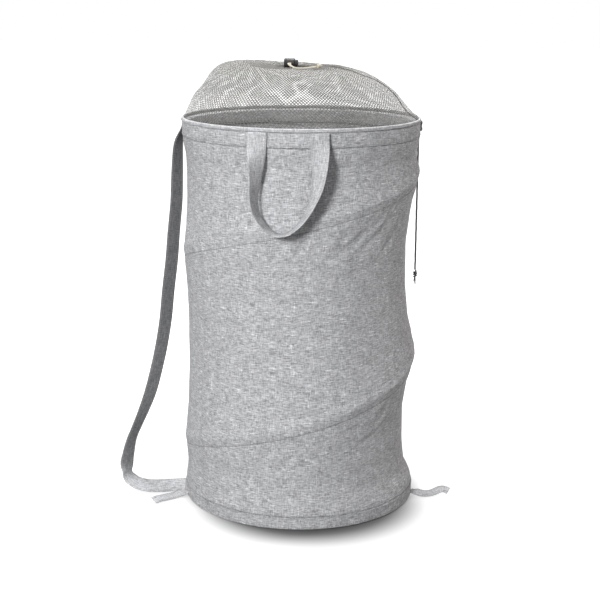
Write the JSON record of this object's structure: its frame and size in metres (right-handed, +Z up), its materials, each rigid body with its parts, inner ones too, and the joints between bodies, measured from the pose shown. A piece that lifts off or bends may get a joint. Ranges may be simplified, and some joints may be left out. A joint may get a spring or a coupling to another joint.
{
  "type": "pop up laundry hamper",
  "caption": "Free-standing pop-up laundry hamper: a spring-wire cloth drum with a drawcord net cover, carrying handles, a shoulder strap and tie tapes.",
  "frame": {"origin": "centre of the underside of the base, on the floor", "axes": "+Z up along the drum, -Y to the front handle and the picture's viewer, -X to the shoulder strap"},
  "size_m": [0.5292, 0.4326, 0.6989],
  "materials": {
    "heather_cloth": "matte heather grey weave",
    "lining_cloth": "matte grey lining",
    "net": "matte taupe net",
    "cream_cord": "matte cream cord",
    "dark_cord": "matte dark grey cord",
    "black_plastic": "satin black",
    "spring_steel": "drawn spring steel",
    "ferrule_zinc": "zinc plated"
  },
  "bodies": {
    "base": {"base_panel": "heather_cloth", "base_casing": "heather_cloth", "base_ring_wire": "spring_steel", "base_ferrule": "ferrule_zinc", "wall_panel": "heather_cloth", "spiral_wire": "spring_steel", "spiral_casing": "lining_cloth", "shoulder_strap": "heather_cloth"},
    "rim": {"rim_casing": "heather_cloth", "rim_ring_wire": "spring_steel", "rim_ferrule": "ferrule_zinc", "rim_binding": "heather_cloth", "mesh_cover": "net", "mesh_hem": "net", "drawcord": "cream_cord", "drawcord_tail_near": "cream_cord", "drawcord_tail_far": "cream_cord", "drawcord_knot": "cream_cord", "closure_loop": "dark_cord", "closure_cord": "dark_cord", "closure_knot": "dark_cord"},
    "cord_lock": {"cord_lock_barrel": "black_plastic", "cord_lock_spring": "spring_steel"},
    "cord_lock_button": {"cord_lock_plunger": "black_plastic"},
    "toggle": {"closure_toggle": "black_plastic"},
    "front_handle": {"front_handle": "heather_cloth"},
    "rear_handle": {"rear_handle": "heather_cloth"},
    "left_tie": {"left_tie": "heather_cloth"},
    "right_tie": {"right_tie": "heather_cloth"}
  },
  "joints": [
    {"name": "collapse", "type": "slide", "parent": "base", "child": "rim", "axis": [0, 0, -1], "range_m": [0, 0.55], "stiffness_N_per_m": 25, "springref_m": -0.5, "deforming": ["wall_panel", "spiral_wire", "spiral_casing", "shoulder_strap"]},
    {"name": "front_handle_lift", "type": "hinge", "parent": "rim", "child": "front_handle", "pos_m": [0, -0.184, 0.6015], "axis": [-1, 0, 0], "range_deg": [0, 160]},
    {"name": "rear_handle_lift", "type": "hinge", "parent": "rim", "child": "rear_handle", "pos_m": [0, 0.184, 0.6015], "axis": [1, 0, 0], "range_deg": [0, 160]},
    {"name": "cord_lock_slide", "type": "slide", "parent": "rim", "child": "cord_lock", "axis": [0, -1, 0], "range_m": [0, 0.006]},
    {"name": "cord_lock_press", "type": "slide", "parent": "cord_lock", "child": "cord_lock_button", "axis": [-1, 0, 0], "range_m": [0, 0.0025], "stiffness_N_per_m": 100, "springref_m": -0.004, "deforming": ["cord_lock_spring"]},
    {"name": "toggle_slide", "type": "slide", "parent": "rim", "child": "toggle", "axis": [0, 0, -1], "range_m": [0, 0.22]},
    {"name": "left_tie_lift", "type": "hinge", "parent": "base", "child": "left_tie", "pos_m": [-0.17319, -0.06303, 0.008], "axis": [-0.342, 0.9397, 0], "range_deg": [0, 80]},
    {"name": "right_tie_lift", "type": "hinge", "parent": "base", "child": "right_tie", "pos_m": [0.18405, -0.00965, 0.008], "axis": [-0.0523, -0.9986, 0], "range_deg": [0, 80]}
  ]
}
